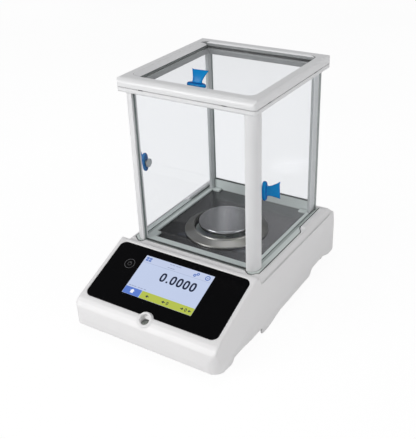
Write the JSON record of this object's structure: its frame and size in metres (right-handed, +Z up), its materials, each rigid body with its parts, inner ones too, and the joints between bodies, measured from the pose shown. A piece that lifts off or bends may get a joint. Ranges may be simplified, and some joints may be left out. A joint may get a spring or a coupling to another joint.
{
  "type": "analytical balance",
  "caption": "Analytical balance with touch console, round weighing pan in a draft ring, and a glass draft shield with sliding side and top doors.",
  "frame": {"origin": "centre of the base footprint, on the ground under the feet", "axes": "+Z up, the console faces -Y, +X to the right seen from the front"},
  "size_m": [0.23, 0.35, 0.3304],
  "materials": {
    "housing_white": "satin moulded",
    "pan_grey_plastic": "matte moulded",
    "panel_glass": "gloss black",
    "screen": "lit display",
    "circuit_board": "solder mask",
    "cable_white": "flat cable",
    "level_body": "matte",
    "level_fluid": "clear",
    "shield_plastic": "satin moulded",
    "frame_white": "satin moulded",
    "clip_grey": "matte",
    "clear_glass": "polished",
    "handle_blue": "gloss",
    "cap_grey": "satin",
    "stainless_dark": "polished",
    "stainless": "satin",
    "aluminium": "machined",
    "magnet_steel": "satin",
    "copper_coil": "wound",
    "steel_screw": "zinc plated",
    "brass_insert": "machined",
    "black_plastic": "matte",
    "rubber_black": "matte"
  },
  "bodies": {
    "base": {"upper_housing": "housing_white", "lower_housing": "pan_grey_plastic", "control_panel_glass": "panel_glass", "display_module": "screen", "power_key_board": "circuit_board", "spirit_level_cup": "level_body", "spirit_level_vial": "level_fluid", "shield_base": "shield_plastic", "front_left_post": "frame_white", "front_right_post": "frame_white", "rear_left_post": "frame_white", "rear_right_post": "frame_white", "post_screws_lower": "steel_screw", "post_screws_upper": "steel_screw", "top_frame_lower": "frame_white", "top_frame_upper": "frame_white", "top_frame_clips": "clip_grey", "front_glass": "clear_glass", "rear_glass": "clear_glass", "cell_mounting_plate": "aluminium", "force_cell_block": "aluminium", "magnet_system": "magnet_steel", "force_coil": "copper_coil", "position_sensor": "circuit_board", "cell_screws": "steel_screw", "lifter_motor": "magnet_steel", "lifter_bracket": "aluminium", "main_board": "circuit_board", "board_spacers": "steel_screw", "display_cable": "cable_white", "connector_board": "circuit_board", "serial_port": "stainless", "usb_ports": "stainless", "power_jack": "black_plastic", "foot_inserts": "brass_insert", "front_feet": "rubber_black", "housing_screws": "steel_screw"},
    "left_door": {"left_door_glass": "clear_glass", "left_door_handle": "handle_blue", "left_handle_cap": "cap_grey"},
    "right_door": {"right_door_glass": "clear_glass", "right_door_handle": "handle_blue", "right_handle_cap": "cap_grey"},
    "top_door": {"top_door_glass": "clear_glass", "top_door_handle": "handle_blue", "top_handle_cap": "cap_grey"},
    "load_receptor": {"pan_support": "aluminium"},
    "pan": {"weighing_pan": "stainless"},
    "floor_plate": {"chamber_floor_plate": "stainless_dark"},
    "ring": {"draft_ring": "stainless"},
    "rear_left_pad": {"rear_left_foot_pad": "rubber_black"},
    "rear_left_screw": {"rear_left_foot_screw": "black_plastic"},
    "rear_right_pad": {"rear_right_foot_pad": "rubber_black"},
    "rear_right_screw": {"rear_right_foot_screw": "black_plastic"},
    "spindle": {"lifter_spindle": "steel_screw"},
    "lifter": {"weight_lifter": "black_plastic", "calibration_weight": "stainless"},
    "port_cover": {"hook_port_cover": "black_plastic"}
  },
  "joints": [
    {"name": "left_door_slide", "type": "slide", "parent": "base", "child": "left_door", "axis": [0, 1, 0], "range_m": [0, 0.14]},
    {"name": "right_door_slide", "type": "slide", "parent": "base", "child": "right_door", "axis": [0, 1, 0], "range_m": [0, 0.14]},
    {"name": "top_door_slide", "type": "slide", "parent": "base", "child": "top_door", "axis": [0, 1, 0], "range_m": [0, 0.15]},
    {"name": "pan_overload_travel", "type": "slide", "parent": "base", "child": "load_receptor", "axis": [0, 0, 1], "range_m": [-0.0003, 0]},
    {"name": "pan_lift_off", "type": "slide", "parent": "load_receptor", "child": "pan", "axis": [0, 0, 1], "range_m": [0, 0.06]},
    {"name": "floor_plate_lift_out", "type": "slide", "parent": "base", "child": "floor_plate", "axis": [0, 0, 1], "range_m": [0, 0.02]},
    {"name": "draft_ring_lift_off", "type": "slide", "parent": "floor_plate", "child": "ring", "axis": [0, 0, 1], "range_m": [0, 0.05]},
    {"name": "rear_left_foot_height", "type": "slide", "parent": "base", "child": "rear_left_pad", "axis": [0, 0, 1], "range_m": [-0.005, 0.00375]},
    {"name": "rear_left_foot_turn", "type": "hinge", "parent": "rear_left_pad", "child": "rear_left_screw", "pos_m": [-0.09, 0.15, 0.01], "axis": [0, 0, 1], "range_deg": [-1441, 1081]},
    {"name": "rear_right_foot_height", "type": "slide", "parent": "base", "child": "rear_right_pad", "axis": [0, 0, 1], "range_m": [-0.005, 0.00375]},
    {"name": "rear_right_foot_turn", "type": "hinge", "parent": "rear_right_pad", "child": "rear_right_screw", "pos_m": [0.09, 0.15, 0.01], "axis": [0, 0, 1], "range_deg": [-1441, 1081]},
    {"name": "calibration_spindle_turn", "type": "hinge", "parent": "base", "child": "spindle", "pos_m": [0, -0.016, 0.05], "axis": [0, 0, 1], "range_deg": [0, 1045]},
    {"name": "calibration_weight_lowering", "type": "slide", "parent": "base", "child": "lifter", "axis": [0, 0, 1], "range_m": [-0.0029, 0]},
    {"name": "weigh_below_cover_removal", "type": "slide", "parent": "base", "child": "port_cover", "axis": [0, 0, 1], "range_m": [-0.015, 0]}
  ],
  "couplings": [
    {"joint": "rear_left_foot_turn", "follows": "rear_left_foot_height", "rad_per_m": 5026.5},
    {"joint": "rear_right_foot_turn", "follows": "rear_right_foot_height", "rad_per_m": 5026.5},
    {"joint": "calibration_spindle_turn", "follows": "calibration_weight_lowering", "rad_per_m": -6283.2}
  ]
}
